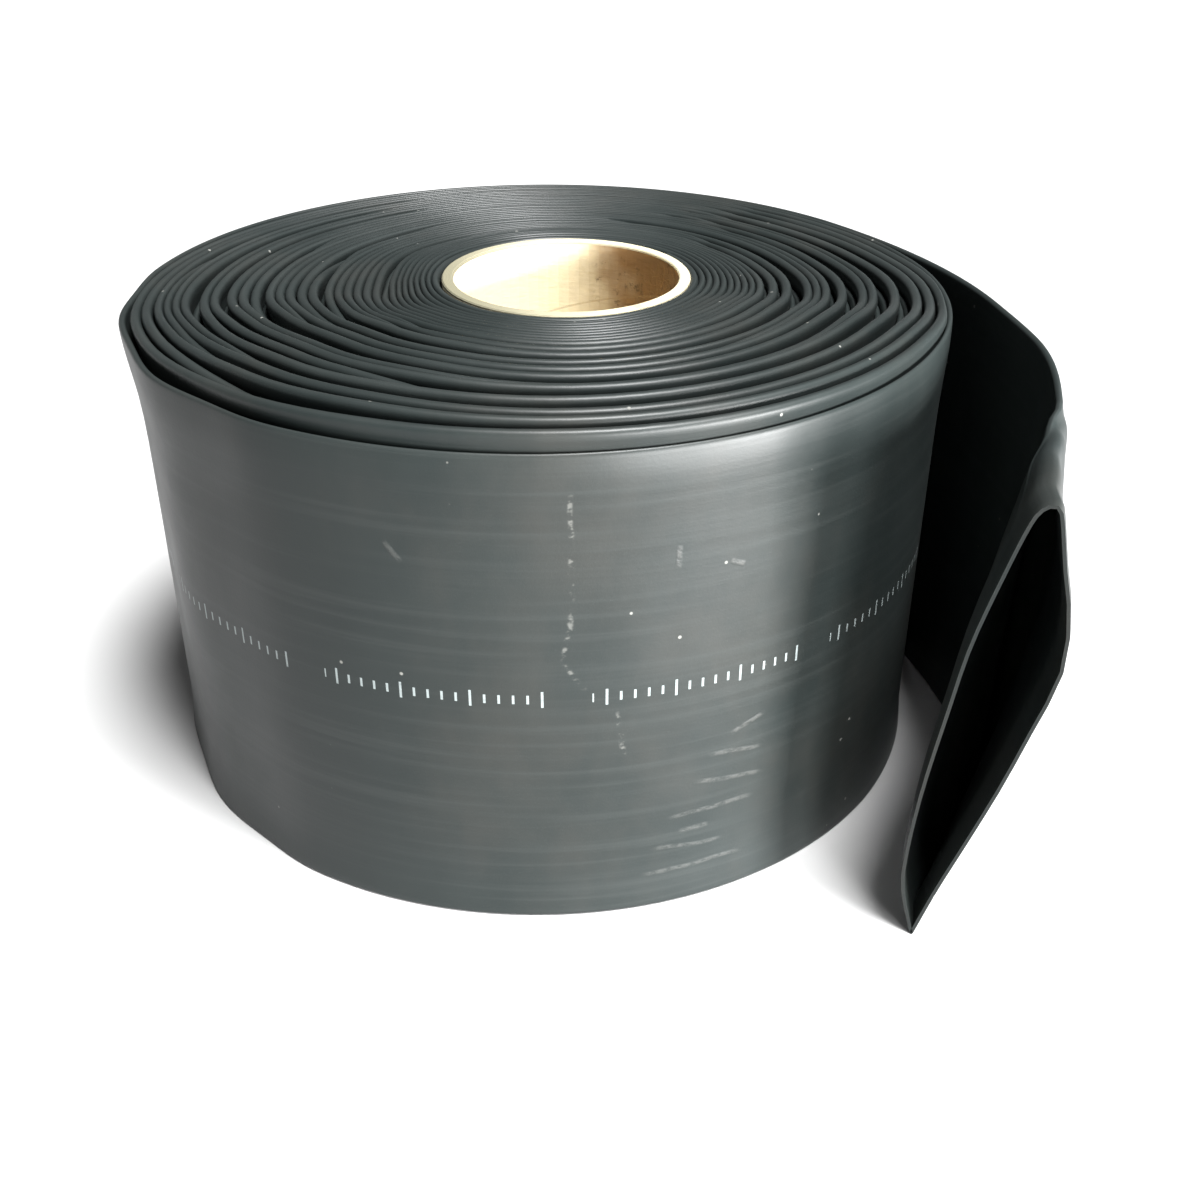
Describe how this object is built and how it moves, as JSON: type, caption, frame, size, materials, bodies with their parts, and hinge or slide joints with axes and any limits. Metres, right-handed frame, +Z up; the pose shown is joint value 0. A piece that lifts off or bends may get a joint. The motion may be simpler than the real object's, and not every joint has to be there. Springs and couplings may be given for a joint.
{
  "type": "heat shrink tube",
  "caption": "Roll of black flattened heat shrink tube wound on a cardboard core, standing on end, with its free end open.",
  "frame": {"origin": "on the floor, under the middle of the whole roll's bounding box", "axes": "+Z up along the core's axis, -Y the way the open mouth looks, +X towards the free end's side of the roll"},
  "size_m": [0.4074, 0.3342, 0.193],
  "materials": {
    "tube": "satin black polyolefin",
    "board": null
  },
  "bodies": {
    "root": {"heat_shrink_tube": "tube", "cardboard_core": "board"}
  },
  "joints": []
}
